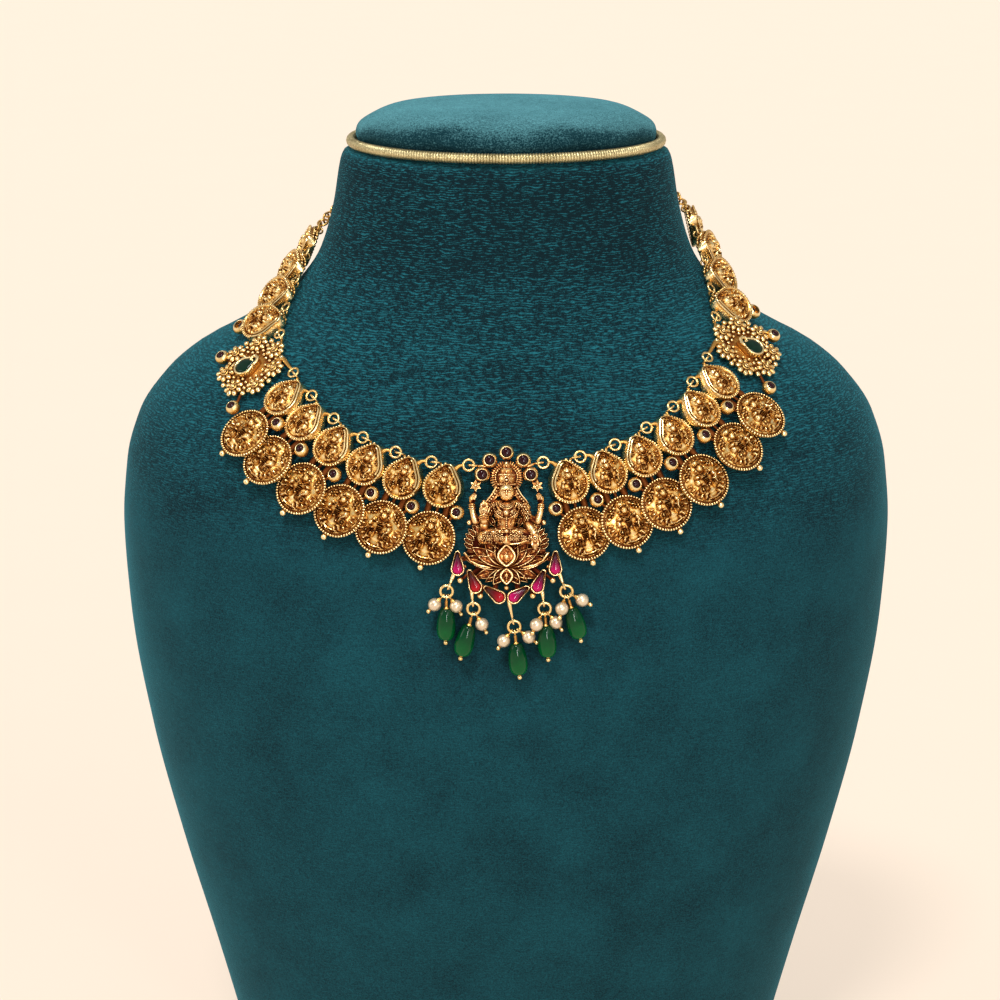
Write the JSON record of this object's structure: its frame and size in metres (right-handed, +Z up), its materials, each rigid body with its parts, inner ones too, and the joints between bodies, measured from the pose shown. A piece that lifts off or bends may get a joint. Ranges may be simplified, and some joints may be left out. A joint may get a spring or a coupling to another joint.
{
  "type": "necklace on neck bust",
  "caption": "Antique gold temple necklace of coin links with a seated goddess pendant, ruby settings, green drops and pearls, worn by a plain velvet neck bust.",
  "frame": {"origin": "on the base of the bust, below the middle of the neck's axis", "axes": "+Z up the neck, -Y towards the chest and the pendant, +X to the viewer's right"},
  "size_m": [0.2562, 0.155, 0.3298],
  "materials": {
    "velvet": "deep teal ribbed velvet",
    "velvet_cushion": "deep teal velvet with a grainy nap",
    "trim_gold": "pale gold cord",
    "antique_gold": "antique gold, dark in the recesses",
    "garnet": "dark red cabochon",
    "ruby": "pink red, polished",
    "green_drop": "deep green, polished, slightly translucent",
    "green_stone": "dark green, polished",
    "pearl": "cream pearl, soft lustre"
  },
  "bodies": {
    "root": {"bust_body": "velvet", "bust_cushion": "velvet_cushion", "bust_trim": "trim_gold", "pendant": "antique_gold", "pendant_garnets": "garnet", "ruby_1": "ruby", "ruby_2": "ruby", "ruby_3": "ruby", "ruby_4": "ruby", "ruby_5": "ruby", "ruby_6": "ruby", "drop_wires_1": "antique_gold", "drop_wires_2": "antique_gold", "drop_wires_3": "antique_gold", "drop_wires_4": "antique_gold", "drop_wires_5": "antique_gold", "emerald_1": "green_drop", "emerald_2": "green_drop", "emerald_3": "green_drop", "emerald_4": "green_drop", "emerald_5": "green_drop", "pearls_1": "pearl", "pearls_2": "pearl", "pearls_3": "pearl", "pearls_4": "pearl", "pearls_5": "pearl", "link_left_1": "antique_gold", "link_left_2": "antique_gold", "link_left_3": "antique_gold", "link_left_4": "antique_gold", "link_left_5": "antique_gold", "link_left_6": "antique_gold", "link_right_1": "antique_gold", "link_right_2": "antique_gold", "link_right_3": "antique_gold", "link_right_4": "antique_gold", "link_right_5": "antique_gold", "link_right_6": "antique_gold", "garnets_left": "garnet", "garnets_right": "garnet", "panel_left": "antique_gold", "panel_right": "antique_gold", "panel_stone_left": "green_stone", "panel_stone_right": "green_stone", "rear_left_1": "antique_gold", "rear_left_2": "antique_gold", "rear_left_3": "antique_gold", "rear_left_4": "antique_gold", "rear_right_1": "antique_gold", "rear_right_2": "antique_gold", "rear_right_3": "antique_gold", "rear_right_4": "antique_gold", "back_chain": "antique_gold", "hook_clasp": "antique_gold"}
  },
  "joints": []
}
